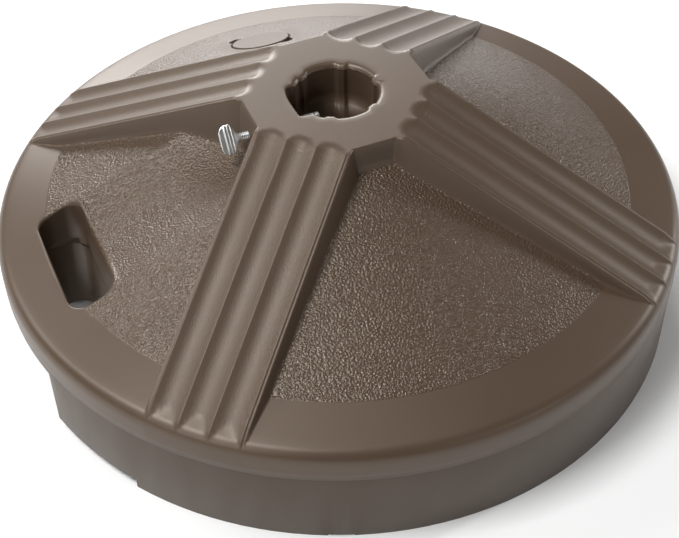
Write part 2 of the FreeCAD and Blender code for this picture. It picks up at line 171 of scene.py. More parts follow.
TROUGH_R = 120.0 * MM
TROUGH_NEAR = (77.0 * MM, 130.2 * MM)
TROUGH_SLOPE = (130.2 - 79.2) / (200.0 - 77.0)
SLOT_MIDDLE = (-192.25 * MM, 0.0)
SLOT_HALF = (15.75 * MM, 47.5 * MM)
SLOT_CORNER = 12.0 * MM
PLUG_OUT = 150.0 * MM
PLUG_R = 22.0 * MM
PLUG_GAP = 1.0 * MM
PLUG_NOTCH_TURN = math.radians(-52)
NECK_R = 16.5 * MM
FINGER_NOTCH_R = 6.6 * MM

cone_angle = math.atan(CONE_SLOPE)
band_angle = math.atan(BAND_SLOPE)
grain_edge_z = CONE_TOP - CONE_SLOPE * (GRAIN_R - HUB_FLAT)
round_r = RIM_R - RIM_ROUND
round_top_r = round_r + RIM_ROUND * math.sin(band_angle)
round_z = grain_edge_z - BAND_SLOPE * (round_top_r - GRAIN_R) - RIM_ROUND * math.cos(band_angle)


def soft_max(a, b, blend):
    """The larger of two heights, rounded where they meet."""
    share = np.clip(0.5 + 0.5 * (a - b) / blend, 0, 1)
    return b * (1 - share) + a * share + blend * share * (1 - share)


def soft_min(a, b, blend):
    """The smaller of two heights, rounded where they meet."""
    return -soft_max(-a, -b, blend)


def ease(low, high, value):
    """0 below low, 1 above high, smooth between them."""
    t = np.clip((value - low) / (high - low), 0, 1)
    return t * t * (3 - 2 * t)


def sector_height(x, y, inset):
    """Cone, rim band and rim rounding, with the trough pressed into the handle's sector."""
    r = np.hypot(x, y)
    lean = inset / math.cos(cone_angle)
    cone = CONE_TOP - lean - CONE_SLOPE * (r - HUB_FLAT)
    band = grain_edge_z - lean - BAND_SLOPE * (r - GRAIN_R)
    height = np.where(r < GRAIN_R, cone, band)
    sag = TROUGH_R - np.sqrt(np.maximum(TROUGH_R ** 2 - y * y, 1e-6))
    floor_line = TROUGH_NEAR[1] - TROUGH_SLOPE * (-x - TROUGH_NEAR[0])
    trough_z = floor_line + sag / math.cos(cone_angle) - lean
    fade = ease(-HUB_FLAT, -NOTCH_WALL, x) + ease(205 * MM, 212 * MM, -x)
    trough_z = trough_z + 60 * MM * fade
    height = soft_min(height, trough_z, 0.8 * MM)
    radius = RIM_ROUND - inset
    drop = np.sqrt(np.maximum(radius ** 2 - np.clip(r - round_r, 0, radius) ** 2, 0))
    rounded = round_z + drop
    return np.where(r > round_top_r, np.minimum(rounded, height), height)


def flute_drop(across, inset):
    """How far the arm's top lies below its ridges, by the distance from the arm's middle."""
    if inset > 0:
        return np.full_like(across, FLUTE_DEPTH)
    half = FLUTE_PITCH / 2
    radius = (half ** 2 + FLUTE_DEPTH ** 2) / (2 * FLUTE_DEPTH)
    v = np.abs(across)
    nearest = np.clip(np.round(v / FLUTE_PITCH), 0, (FLUTES - 1) / 2) * FLUTE_PITCH
    off = np.minimum(np.abs(v - nearest), half)
    groove = np.sqrt(radius ** 2 - off ** 2) - (radius - FLUTE_DEPTH)
    crest = 0.35 * MM * np.exp(-((half - off) / (0.6 * MM)) ** 2)
    band = EDGE_BAND_DROP * ease(0.2 * MM, 0.9 * MM, v - FLUTES * half)
    return groove + crest + band


def upper_height(x, y, inset=0.0):
    """Outer height of the upper shell, or its inner height where inset is the wall's thickness."""
    along = (np.abs(x) + np.abs(y)) / math.sqrt(2)
    across = (np.abs(y) - np.abs(x)) / math.sqrt(2)
    r = np.hypot(x, y)
    top = HUB_TOP - inset
    line = top - ARM_SLOPE * (along - HUB_FLAT)
    end_radius = ARM_END_ROUND - inset
    end_r = RIM_R - ARM_END_ROUND
    arm_line_there = HUB_TOP - ARM_SLOPE * (end_r - HUB_FLAT)
    end_z = arm_line_there - ARM_END_ROUND / math.cos(math.atan(ARM_SLOPE))
    past = np.clip(r - end_r, 0, end_radius)
    end = end_z + np.sqrt(np.maximum(end_radius ** 2 - past ** 2, 0))
    tangent_r = end_r + end_radius * math.sin(math.atan(ARM_SLOPE))
    line = np.where(r > tangent_r, np.minimum(line, end), line)
    level = np.full_like(x, top)
    ridge = soft_min(line - flute_drop(across, inset), level, KNEE_BLEND)
    side = soft_min(line, level, KNEE_BLEND) + (ARM_HALF - inset - np.abs(across)) * WALL_STEEPNESS
    arm = soft_min(ridge, side, EDGE_BLEND)
    flat = np.maximum(np.maximum(np.abs(x), np.abs(y)), along)
    hub_side = top + (HUB_FLAT + 0.4 * MM - inset - flat) * HUB_STEEPNESS
    hub = soft_min(level, hub_side, EDGE_BLEND)
    fluted = np.abs(across) < FLUTES * FLUTE_PITCH / 2
    hub = np.where(fluted, np.minimum(hub, ridge), hub)
    body = soft_max(arm, hub, FOOT_BLEND)
    foot = FOOT_BLEND + 4 * FOOT_BLEND * ease(RIM_R, 215 * MM, r)
    height = soft_max(body, sector_height(x, y, inset), foot)
    return np.minimum(height, top)


def socket_outline(turn, grow, notched):
    """Radius of the pole socket's wall at each turn about Z: five ribs and the nut's notch."""
    radius = np.full_like(turn, SOCKET_R)
    for rib in RIB_TURNS:
        off = np.abs((turn - math.radians(rib) + math.pi) % (2 * math.pi) - math.pi) * SOCKET_R
        radius = radius - (SOCKET_R - RIB_R) * (1 - ease(0.45 * RIB_HALF, RIB_HALF, off))
    radius = radius + grow
    if not notched:
        return radius
    side = np.abs((turn % (2 * math.pi)) - math.pi)
    bow = np.where(turn % (2 * math.pi) < math.pi, NOTCH_BOW_FAR, NOTCH_BOW_NEAR)
    bowed = bow * (np.tan(np.minimum(side, 0.8)) / 0.55) ** 2
    wall = (NOTCH_WALL - bowed + grow) / np.maximum(np.cos(side), 0.2)
    flank = (NOTCH_HALF + grow) / np.maximum(np.sin(side), 0.05)
    notch = np.where(side < math.pi / 2, soft_min(wall, flank, 3.5 * MM), 0)
    return soft_max(radius, notch, 1.0 * MM)


def arm_columns():
    """Offsets from an arm's middle, closest together at the ridges and on the side walls."""
    half = FLUTE_PITCH / 2
    steps = [math.sin(math.radians(a)) * half for a in range(-90, 90, 15)]
    flutes = [middle * FLUTE_PITCH + step for middle in (-1, 0, 1) for step in steps]
    edge = [30.9, 31.3, 31.8, 32.5, 33.0, 33.4, 33.8, 34.2, 34.7, 35.2, 35.8, 36.4, 37.0, 37.7, 38.5]
    edge = [value * MM for value in edge]
    return [-value for value in reversed(edge)] + flutes[1:] + edge


ARM_EDGE = 38.5 * MM


def grid_turns(radius, squareness, inset):
    """Turn about Z of every column at one ring, and the ring's radius there."""
    edge = ARM_EDGE - inset
    frozen = max(radius, HUB_FLAT)
    half_sector = math.pi / 4 - math.asin(edge / frozen)
    turns = []
    for quarter in range(4):
        middle = quarter * math.pi / 2
        count = 90 if quarter == 2 else 48
        for step in range(1, count):
            turns.append(middle + half_sector * (2 * step / count - 1))
        for offset in arm_columns():
            scaled = offset * edge / ARM_EDGE
            turns.append(middle + math.pi / 4 + math.asin(scaled / frozen))
    turns = np.array(turns)
    local = (turns + math.pi / 4) % (math.pi / 2) - math.pi / 4
    local = np.clip(np.abs(local), 0, half_sector)
    straight = 1 / np.cos(local)
    return turns, radius * (1 + squareness * (straight - 1))


class Skin:
    """Vertices and faces of one side of a moulded wall, gathered ring by ring."""

    def __init__(self):
        self.points = []
        self.faces = []

    def loop(self, points):
        """Adds a closed loop of points and returns their numbers."""
        first = len(self.points)
        self.points.extend(points)
        return list(range(first, first + len(points)))

    def band(self, inner, outer, skip=None):
        """Joins two loops of the same length with quads, but for those that skip names."""
        count = len(inner)
        for index in range(count):
            if skip and skip(index):
                continue
            after = (index + 1) % count
            self.faces.append((inner[index], outer[index], outer[after], inner[after]))


def xyz(x, y, z):
    """A list of points from arrays or single heights."""
    z = np.broadcast_to(z, x.shape)
    return [tuple(float(v) for v in point) for point in zip(x, y, z)]


def patch_edge(rings, row_low, row_high, col_low, col_high):
    """Numbers of the grid's points round a block of cells, anticlockwise seen from above."""
    low = [rings[row_low][c] for c in range(col_low, col_high)]
    right_side = [rings[r][col_high] for r in range(row_low, row_high)]
    high = [rings[row_high][c] for c in range(col_high, col_low, -1)]
    left_side = [rings[r][col_low] for r in range(row_high, row_low, -1)]
    return low + right_side + high + left_side


def rounded_outline(direction, half, corner, grow):
    """Point of a rectangle with round corners where a ray from its middle leaves it."""
    hx = half[0] + grow
    hy = half[1] + grow
    c = corner + grow
    low = np.zeros(len(direction))
    high = np.full(len(direction), hx + hy)
    for _ in range(40):
        t = (low + high) / 2
        px = np.abs(direction[:, 0] * t) - (hx - c)
        py = np.abs(direction[:, 1] * t) - (hy - c)
        gap = np.hypot(np.maximum(px, 0), np.maximum(py, 0)) + np.minimum(np.maximum(px, py), 0) - c
        low = np.where(gap < 0, t, low)
        high = np.where(gap < 0, high, t)
    return direction * t[:, None]


def slot_directions(border):
    """Rays from the slot's middle, spread as evenly along its outline as the border's points."""
    count = len(border)
    offset = border[:, :2] - np.array(SLOT_MIDDLE)
    scaled = offset / np.array([SLOT_HALF[0] + 8 * MM, SLOT_HALF[1] + 8 * MM])
    turn = np.arctan2(scaled[:, 1], scaled[:, 0])
    rays = np.stack([np.cos(turn) * SLOT_HALF[0], np.sin(turn) * SLOT_HALF[1]], axis=1)
    return rays / np.linalg.norm(rays, axis=1)[:, None]


def add_slot(skin, border, inset):
    """Handle slot: from the grid's opening over a rounded lip and down to the seam."""
    numbers = border
    edge = np.array([skin.points[n] for n in numbers])
    rays = slot_directions(edge)
    middle = np.array(SLOT_MIDDLE)
    inner_side = ease(0.2, 0.9, rays[:, 0] * SLOT_HALF[1] / SLOT_HALF[0] / 2)
    lip = (2.5 * MM + 4.5 * MM * inner_side) if inset == 0 else np.full(len(rays), 1.0 * MM)
    base = middle + rounded_outline(rays, SLOT_HALF, SLOT_CORNER, inset)
    outward = base - (middle + rounded_outline(rays, SLOT_HALF, SLOT_CORNER, inset - 1 * MM))
    outward = outward / np.linalg.norm(outward, axis=1)[:, None]
    lip_edge = base + outward * lip[:, None]
    previous = numbers
    for share in (0.25, 0.5, 0.75, 1.0):
        spot = edge[:, :2] * (1 - share) + lip_edge * share
        ring = skin.loop(xyz(spot[:, 0], spot[:, 1], upper_height(spot[:, 0], spot[:, 1], inset)))
        skin.band(ring, previous)
        previous = ring
    for step in range(1, 8):
        angle = step * math.pi / 14
        spot = base + outward * (lip * (1 - math.sin(angle)))[:, None]
        z = upper_height(lip_edge[:, 0], lip_edge[:, 1], inset) - lip * (1 - math.cos(angle))
        ring = skin.loop(xyz(spot[:, 0], spot[:, 1], z))
        skin.band(ring, previous)
        previous = ring
    top = np.array([skin.points[n] for n in previous])[:, 2]
    for share in (0.2, 0.5, 0.8, 1.0):
        ring = skin.loop(xyz(base[:, 0], base[:, 1], top * (1 - share) + SEAM_Z * share))
        skin.band(ring, previous)
        previous = ring
    return previous


def add_plug_seat(skin, border, inset):
    """Filler neck: a shallow seat for the plug's cap, with finger notches, and the bore below."""
    numbers = border
    edge = np.array([skin.points[n] for n in numbers])
    normal = np.array([0, math.sin(cone_angle), math.cos(cone_angle)])
    downhill = np.array([0, math.cos(cone_angle), -math.sin(cone_angle)])
    middle = np.array([0, PLUG_OUT, CONE_TOP - CONE_SLOPE * (PLUG_OUT - HUB_FLAT)])
    turn = np.arctan2(edge[:, 1] - PLUG_OUT, edge[:, 0])
    circle = PLUG_R + PLUG_GAP
    side = np.abs((turn - PLUG_NOTCH_TURN + math.pi / 2) % math.pi - math.pi / 2)
    off = PLUG_R * np.sin(side)
    reach = PLUG_R * np.cos(side) + np.sqrt(np.maximum(FINGER_NOTCH_R ** 2 - off ** 2, 0))
    inside_notch = off < FINGER_NOTCH_R
    seat = np.where(inside_notch, np.maximum(circle, reach), circle)
    neck = np.full(len(turn), NECK_R)
    if inset > 0:
        seat = np.full(len(turn), PLUG_R + FINGER_NOTCH_R + inset)
        neck = neck + inset

    def ring_at(radius, depth):
        across = np.outer(radius * np.cos(turn), [1, 0, 0]) + np.outer(radius * np.sin(turn), downhill)
        spot = middle + across - np.outer(np.broadcast_to(depth, turn.shape), normal)
        return skin.loop(xyz(spot[:, 0], spot[:, 1], spot[:, 2]))

    steps = [(seat + 4 * MM, inset), (seat + 0.8 * MM, inset), (seat + 0.3 * MM, inset + 0.15 * MM),
             (seat, inset + 0.7 * MM), (seat, inset + 2.4 * MM), (neck + 0.4 * MM, inset + 2.4 * MM),
             (neck, inset + 2.8 * MM), (neck, 15 * MM)]
    previous = numbers
    for radius, depth in steps:
        ring = ring_at(radius, depth)
        skin.band(ring, previous)
        previous = ring
    return previous


def ring_radii(inset):
    """The grid's rings from the hub's edge to the rim."""
    hub = [60.0, 60.8, 61.4, 61.8, 62.1, 62.4, 62.7, 63.1, 63.6,
           64.1, 64.7, 65.3, 66.0, 66.8, 67.8, 69.0, 70.5]
    spread = list(np.linspace(72.5, 202.0, 58))
    edge = [203.6, 204.5, 205.0, 205.6, 206.6]
    band_rings = list(np.linspace(209.0, 230.0, 9))
    if inset > 0:
        hub = [52.0, 57.0, 58.5, 59.5, 60.5, 61.5, 62.5, 64.0, 68.0]
        spread = list(np.linspace(74.0, 200.0, 16))
        edge = [205.0]
        band_rings = [212.0, 220.0, 228.0]
    turns = [math.radians(a) for a in range(15, 91, 15 if inset > 0 else 8)]
    turns[-1] = math.pi / 2
    last = [round_r + (RIM_ROUND - inset) * math.sin(a) for a in turns]
    return [value * MM for value in hub + spread + edge + band_rings] + last


def build_skin(inset):
    """One side of the upper shell's wall; returns it with its open loops."""
    skin = Skin()
    turns, _ = grid_turns(HUB_FLAT, 0, inset)
    mouth = np.full(len(turns), INNER_MOUTH_ROUND)
    if inset == 0:
        in_notch = 1 - ease(0.45, 0.75, np.abs(turns % (2 * math.pi) - math.pi))
        mouth = MOUTH_ROUND + (NOTCH_ROUND - MOUTH_ROUND) * in_notch
    top = HUB_TOP - inset
    rings = []
    socket_levels = [(SEAM_Z, False), (80 * MM, False), (110 * MM, False), (NOTCH_FLOOR - inset, False),
                     (NOTCH_FLOOR - inset, True), (145 * MM, True), (157 * MM, True)]
    for level, notched in socket_levels:
        outline = socket_outline(turns, inset, notched)
        rings.append(skin.loop(xyz(outline * np.cos(turns), outline * np.sin(turns), level)))
    outline = socket_outline(turns, inset, True)
    for step in range(0, 7):
        angle = step * math.pi / 12
        radius = outline + mouth * (1 - math.cos(angle))
        level = top - mouth * (1 - math.sin(angle))
        rings.append(skin.loop(xyz(radius * np.cos(turns), radius * np.sin(turns), level)))
    first_radius = outline + mouth
    _, start_radius = grid_turns(ring_radii(inset)[0], 1.0, inset)
    for share in ((0.15, 0.3, 0.45, 0.6, 0.7, 0.8, 0.9) if inset == 0 else (0.5,)):
        radius = first_radius * (1 - share) + start_radius * share
        x, y = radius * np.cos(turns), radius * np.sin(turns)
        rings.append(skin.loop(xyz(x, y, upper_height(x, y, inset))))
    grid_start = len(rings)
    radii = ring_radii(inset)
    for value in radii:
        squareness = float(1 - ease(70 * MM, 95 * MM, np.array(value)))
        ring_turns, radius = grid_turns(value, squareness, inset)
        x, y = radius * np.cos(ring_turns), radius * np.sin(ring_turns)
        rings.append(skin.loop(xyz(x, y, upper_height(x, y, inset))))
    rim = np.array([skin.points[n] for n in rings[-1]])
    for share in (0.25, 0.6, 1.0):
        rings.append(skin.loop(xyz(rim[:, 0], rim[:, 1], rim[:, 2] * (1 - share) + SEAM_Z * share)))

    def block(middle_x, middle_y, half_x, half_y):
        """Rows and columns of the grid that cover a rectangle."""
        centre_r = math.hypot(middle_x, middle_y)
        row_low = grid_start + int(np.searchsorted(radii, centre_r - half_x)) - 1
        row_high = grid_start + int(np.searchsorted(radii, math.hypot(centre_r + half_x, 0)))
        ring_turns, _ = grid_turns(centre_r, 0, inset)
        middle_turn = math.atan2(middle_y, middle_x)
        gap = (ring_turns - middle_turn + math.pi) % (2 * math.pi) - math.pi
        wanted = np.where(np.abs(gap) < math.atan2(half_y, centre_r))[0]
        return row_low, row_high, int(wanted.min()), int(wanted.max())

    slot_block = block(SLOT_MIDDLE[0], 0, SLOT_HALF[0] + 8.5 * MM, SLOT_HALF[1] + 11 * MM)
    plug_block = block(0, PLUG_OUT, 36 * MM, 40 * MM)
    for row in range(len(rings) - 1):
        def inside(column, row=row):
            for low, high, left, last in (slot_block, plug_block):
                if low <= row < high and left <= column < last:
                    return True
            return False
        skin.band(rings[row], rings[row + 1], inside)
    slot_end = add_slot(skin, patch_edge(rings, *slot_block), inset)
    plug_end = add_plug_seat(skin, patch_edge(rings, *plug_block), inset)
    return skin, {"socket": rings[0], "rim": rings[-1], "slot": slot_end, "plug": plug_end}


outside, outside_ends = build_skin(0.0)
inside_skin, inside_ends = build_skin(WALL)
shell = bmesh.new()
outer_verts = [shell.verts.new(p) for p in outside.points]
inner_verts = [shell.verts.new(p) for p in inside_skin.points]
for face in outside.faces:
    shell.faces.new([outer_verts[n] for n in face])
for face in inside_skin.faces:
    shell.faces.new([inner_verts[n] for n in reversed(face)])
for name, ring in outside_ends.items():
    loops = [[outer_verts[n] for n in ring], [inner_verts[n] for n in inside_ends[name]]]
    edges = []
    for verts in loops:
        for index, vert in enumerate(verts):
            edges.append(shell.edges.get((vert, verts[(index + 1) % len(verts)])))
    bmesh.ops.bridge_loops(shell, edges=edges)
bmesh.ops.recalc_face_normals(shell, faces=shell.faces)
shell_mesh = bpy.data.meshes.new("upper_shell_skin")
shell.to_mesh(shell_mesh)
shell.free()
for polygon in shell_mesh.polygons:
    polygon.use_smooth = True
upper_shell = bpy.data.objects.new("upper_shell_skin", shell_mesh)
bpy.context.scene.collection.objects.link(upper_shell)

spots = np.array([v.co for v in shell_mesh.vertices])
radius_there = np.hypot(spots[:, 0], spots[:, 1])
off_arm = np.abs(np.abs(spots[:, 1]) - np.abs(spots[:, 0])) / math.sqrt(2)
sector = sector_height(spots[:, 0], spots[:, 1], 0.0)
on_sector = 1 - ease(0.3 * MM, 0.9 * MM, np.abs(spots[:, 2] - sector))
grained = on_sector * (1 - ease(GRAIN_R - 0.2 * MM, GRAIN_R + 0.5 * MM, radius_there))
on_flutes = (1 - on_sector) * (off_arm < ARM_HALF)
on_flutes = on_flutes * ease(HUB_TOP - 0.2 * MM, HUB_TOP - 1.2 * MM, spots[:, 2])
on_flutes = on_flutes * ease(60 * MM, 66 * MM, radius_there) * ease(SEAM_Z, 70 * MM, spots[:, 2])
grain = shell_mesh.attributes.new("grain", "FLOAT", "POINT")
grain.data.foreach_set("value", grained.astype(np.float32))
matt = shell_mesh.attributes.new("matt", "FLOAT", "POINT")
matt.data.foreach_set("value", on_flutes.astype(np.float32))


def moulded_grain_group():
    """Shader group: the fine pebbled grain etched into the mould, as a height."""
    tree = bpy.data.node_groups.new("moulded_grain", "ShaderNodeTree")
    for label, kind in (("Coordinates", "NodeSocketVector"), ("Cell size", "NodeSocketFloat")):
        tree.interface.new_socket(label, in_out="INPUT", socket_type=kind)
    tree.interface.new_socket("Height", in_out="OUTPUT", socket_type="NodeSocketFloat")
    nodes, links = tree.nodes, tree.links
    entry = nodes.new("NodeGroupInput")
    leave = nodes.new("NodeGroupOutput")
    scale = nodes.new("ShaderNodeMath")
    scale.operation = "DIVIDE"
    scale.inputs[0].default_value = 1.0
    links.new(entry.outputs["Cell size"], scale.inputs[1])
    warp = nodes.new("ShaderNodeTexNoise")
    warp.inputs["Scale"].default_value = 900.0
    links.new(entry.outputs["Coordinates"], warp.inputs["Vector"])
    shift = nodes.new("ShaderNodeVectorMath")
    shift.operation = "MULTIPLY_ADD"
    shift.inputs[1].default_value = (0.0012, 0.0012, 0.0012)
    links.new(warp.outputs["Color"], shift.inputs[0])
    links.new(entry.outputs["Coordinates"], shift.inputs[2])
    cells = nodes.new("ShaderNodeTexVoronoi")
    cells.feature = "SMOOTH_F1"
    cells.inputs["Smoothness"].default_value = 0.3
    links.new(shift.outputs["Vector"], cells.inputs["Vector"])
    links.new(scale.outputs["Value"], cells.inputs["Scale"])
    pebble = nodes.new("ShaderNodeMapRange")
    pebble.inputs["From Min"].default_value = 0.0
    pebble.inputs["From Max"].default_value = 0.8
    pebble.inputs["To Min"].default_value = 1.0
    pebble.inputs["To Max"].default_value = 0.0
    links.new(cells.outputs["Distance"], pebble.inputs["Value"])
    links.new(pebble.outputs["Result"], leave.inputs["Height"])
    return tree


def haze_group():
    """Shader group: slow, faint change of tone and gloss over a moulded surface."""
    tree = bpy.data.node_groups.new("moulding_haze", "ShaderNodeTree")
    tree.interface.new_socket("Coordinates", in_out="INPUT", socket_type="NodeSocketVector")
    tree.interface.new_socket("Haze", in_out="OUTPUT", socket_type="NodeSocketFloat")
    nodes, links = tree.nodes, tree.links
    entry = nodes.new("NodeGroupInput")
    leave = nodes.new("NodeGroupOutput")
    broad = nodes.new("ShaderNodeTexNoise")
    broad.inputs["Scale"].default_value = 9.0
    broad.inputs["Detail"].default_value = 3.0
    links.new(entry.outputs["Coordinates"], broad.inputs["Vector"])
    fine = nodes.new("ShaderNodeTexNoise")
    fine.inputs["Scale"].default_value = 420.0
    fine.inputs["Detail"].default_value = 2.0
    links.new(entry.outputs["Coordinates"], fine.inputs["Vector"])
    both = nodes.new("ShaderNodeMix")
    both.data_type = "FLOAT"
    both.inputs["Factor"].default_value = 0.3
    links.new(broad.outputs["Fac"], both.inputs["A"])
    links.new(fine.outputs["Fac"], both.inputs["B"])
    links.new(both.outputs["Result"], leave.inputs["Haze"])
    return tree


MOULDED_GRAIN = moulded_grain_group()
MOULDING_HAZE = haze_group()


def bronze_plastic(name, grained_share, shade=1.0):
    """Satin bronze-brown polyethylene. Its grain is everywhere, nowhere, or where the mesh says.

    The last argument, when below 1, darkens the colour as painted shade: the lower moulding's side wall,
    slot walls and socket foot are painted darker to stand in for the shade that falls on them.
    """
    material = bpy.data.materials.new(name)
    material.use_nodes = True
    nodes, links = material.node_tree.nodes, material.node_tree.links
    surface = nodes["Principled BSDF"]
    surface.inputs["IOR"].default_value = 1.58
    surface.inputs["Specular Tint"].default_value = (1.0, 0.91, 0.81, 1)
    place = nodes.new("ShaderNodeTexCoord")
    grain_node = nodes.new("ShaderNodeGroup")
    grain_node.node_tree = MOULDED_GRAIN
    grain_node.inputs["Cell size"].default_value = 0.0016
    haze = nodes.new("ShaderNodeGroup")
    haze.node_tree = MOULDING_HAZE
    for group in (grain_node, haze):
        links.new(place.outputs["Object"], group.inputs["Coordinates"])
    tone = nodes.new("ShaderNodeMix")
    tone.data_type = "RGBA"
    tone.inputs["A"].default_value = (0.072 * shade, 0.046 * shade, 0.029 * shade, 1)
    tone.inputs["B"].default_value = (0.090 * shade, 0.059 * shade, 0.039 * shade, 1)
    links.new(haze.outputs["Haze"], tone.inputs["Factor"])
    links.new(tone.outputs["Result"], surface.inputs["Base Color"])
    gloss = nodes.new("ShaderNodeMapRange")
    gloss.inputs["From Min"].default_value = 0.3
    gloss.inputs["From Max"].default_value = 0.7
    gloss.inputs["To Min"].default_value = 0.36
    gloss.inputs["To Max"].default_value = 0.43
    links.new(haze.outputs["Haze"], gloss.inputs["Value"])
    where_matt = nodes.new("ShaderNodeAttribute")
    where_matt.attribute_name = "matt"
    rougher = nodes.new("ShaderNodeMath")
    rougher.operation = "MULTIPLY_ADD"
    rougher.inputs[1].default_value = 0.07
    links.new(where_matt.outputs["Fac"], rougher.inputs[0])
    links.new(gloss.outputs["Result"], rougher.inputs[2])
    glint = nodes.new("ShaderNodeMath")
    glint.operation = "MULTIPLY_ADD"
    glint.inputs[1].default_value = -0.12
    links.new(rougher.outputs["Value"], glint.inputs[2])
    links.new(glint.outputs["Value"], surface.inputs["Roughness"])
    share = nodes.new("ShaderNodeMath")
    share.operation = "MULTIPLY"
    links.new(grain_node.outputs["Height"], share.inputs[0])
    if grained_share is None:
        where = nodes.new("ShaderNodeAttribute")
        where.attribute_name = "grain"
        links.new(where.outputs["Fac"], share.inputs[1])
        links.new(where.outputs["Fac"], glint.inputs[0])
    else:
        share.inputs[1].default_value = grained_share
        glint.inputs[0].default_value = grained_share
    speckle = nodes.new("ShaderNodeTexNoise")
    speckle.inputs["Scale"].default_value = 1100.0
    speckle.inputs["Detail"].default_value = 2.0
    links.new(place.outputs["Object"], speckle.inputs["Vector"])
    sanded = nodes.new("ShaderNodeMath")
    sanded.operation = "MULTIPLY"
    links.new(speckle.outputs["Fac"], sanded.inputs[0])
    links.new(where_matt.outputs["Fac"], sanded.inputs[1])
    sanding = nodes.new("ShaderNodeBump")
    sanding.inputs["Strength"].default_value = 0.8
    sanding.inputs["Distance"].default_value = 0.00022
    links.new(sanded.outputs["Value"], sanding.inputs["Height"])
    orange_peel = nodes.new("ShaderNodeBump")
    orange_peel.inputs["Strength"].default_value = 0.25
    orange_peel.inputs["Distance"].default_value = 0.00008
    links.new(haze.outputs["Haze"], orange_peel.inputs["Height"])
    links.new(sanding.outputs["Normal"], orange_peel.inputs["Normal"])
    pebbles = nodes.new("ShaderNodeBump")
    pebbles.inputs["Strength"].default_value = 1.0
    pebbles.inputs["Distance"].default_value = 0.00048
    links.new(share.outputs["Value"], pebbles.inputs["Height"])
    links.new(orange_peel.outputs["Normal"], pebbles.inputs["Normal"])
    links.new(pebbles.outputs["Normal"], surface.inputs["Normal"])
    return material


shell_mesh.materials.append(bronze_plastic("bronze_plastic_upper", None))
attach(upper_shell, "base")
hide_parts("upper_shell")

# ---------------------------------------------------------------------------------------------
# Lower shell: the second moulding, welded to the upper one at the seam. It carries the foot
# ring, the foot of the pole socket and the finger space under the grip bar.
# ---------------------------------------------------------------------------------------------
lower_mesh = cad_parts["lower_shell"].data.copy()
lower = bmesh.new()
lower.from_mesh(lower_mesh)
bmesh.ops.remove_doubles(lower, verts=lower.verts, dist=0.00002)
bmesh.ops.dissolve_limit(lower, angle_limit=math.radians(0.5), verts=lower.verts, edges=lower.edges)
lower.to_mesh(lower_mesh)
lower.free()
for polygon in lower_mesh.polygons:
    polygon.use_smooth = True
lower_shell = bpy.data.objects.new("lower_shell_skin", lower_mesh)
bpy.context.scene.collection.objects.link(lower_shell)
softened = lower_shell.modifiers.new("moulded_edges", "BEVEL")
softened.width = 0.0006
softened.segments = 3
softened.limit_method = "ANGLE"
softened.angle_limit = math.radians(40)
softened.harden_normals = True
lower_mesh.materials.clear()
# Painted shade: the lower shell's colour is darkened to 0.7 of the upper's, standing in for the shade on
# its side wall, slot walls and socket foot.
lower_mesh.materials.append(bronze_plastic("bronze_plastic_lower_painted_shade", 0.0, 0.7))
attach(lower_shell, "base")
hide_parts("lower_shell")

# ---------------------------------------------------------------------------------------------
# Ballast: damp sand packed into the tank through the filler neck. It is hidden by the shells.
# ---------------------------------------------------------------------------------------------
SAND_DRY = (0.42, 0.33, 0.22, 1)
SAND_WET = (0.24, 0.18, 0.11, 1)

sand = bpy.data.materials.new("damp_sand")
sand.use_nodes = True
nodes, links = sand.node_tree.nodes, sand.node_tree.links
place = nodes.new("ShaderNodeTexCoord")
grains = nodes.new("ShaderNodeTexVoronoi")
grains.inputs["Scale"].default_value = 1400.0
links.new(place.outputs["Object"], grains.inputs["Vector"])
damp = nodes.new("ShaderNodeTexNoise")
damp.inputs["Scale"].default_value = 14.0
damp.inputs["Detail"].default_value = 6.0
links.new(place.outputs["Object"], damp.inputs["Vector"])
sand_tone = nodes.new("ShaderNodeMix")
sand_tone.data_type = "RGBA"
sand_tone.inputs["A"].default_value = SAND_DRY
sand_tone.inputs["B"].default_value = SAND_WET
links.new(damp.outputs["Fac"], sand_tone.inputs["Factor"])
links.new(sand_tone.outputs["Result"], nodes["Principled BSDF"].inputs["Base Color"])
nodes["Principled BSDF"].inputs["Roughness"].default_value = 0.9
sand_bump = nodes.new("ShaderNodeBump")
sand_bump.inputs["Strength"].default_value = 0.8
sand_bump.inputs["Distance"].default_value = 0.0004
links.new(grains.outputs["Distance"], sand_bump.inputs["Height"])
links.new(sand_bump.outputs["Normal"], nodes["Principled BSDF"].inputs["Normal"])
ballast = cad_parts["ballast_fill"]
ballast.data.materials.clear()
ballast.data.materials.append(sand)

# ---------------------------------------------------------------------------------------------
# Hub nut: a 1/4 in hexagon nut, zinc plated, let into the notch of the pole socket with one
# flat upwards. It is cold formed, so its corners are chamfered on the outer face.
# ---------------------------------------------------------------------------------------------
NUT_FLATS = 11.1 * MM
NUT_BORE = 3.225 * MM
NUT_BEVEL = 0.35 * MM
nut_low, nut_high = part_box("hub_nut")
screw_z = (nut_low[2] + nut_high[2]) / 2


def lathe_along_x(name, profile, columns, shape=None):
    """Closed mesh round the screw's axis from a loop of (x, radius); shape may change each radius."""
    mesh = bmesh.new()
    rings = []
    for x, radius in profile:
        ring = []
        for column in range(columns):
            turn = 2 * math.pi * column / columns
            reach = shape(turn, radius) if shape else radius
            ring.append(mesh.verts.new((x, reach * math.cos(turn), screw_z + reach * math.sin(turn))))
        rings.append(ring)
    for first, second in zip(rings, rings[1:] + rings[:1]):
        for column in range(columns):
            after = (column + 1) % columns
            mesh.faces.new((first[column], first[after], second[after], second[column]))
    bmesh.ops.remove_doubles(mesh, verts=mesh.verts, dist=1e-7)
    bmesh.ops.recalc_face_normals(mesh, faces=mesh.faces)
    data = bpy.data.meshes.new(name)
    mesh.to_mesh(data)
    mesh.free()
    for polygon in data.polygons:
        polygon.use_smooth = True
    data.set_sharp_from_angle(angle=math.radians(35))
    made = bpy.data.objects.new(name, data)
    bpy.context.scene.collection.objects.link(made)
    return made


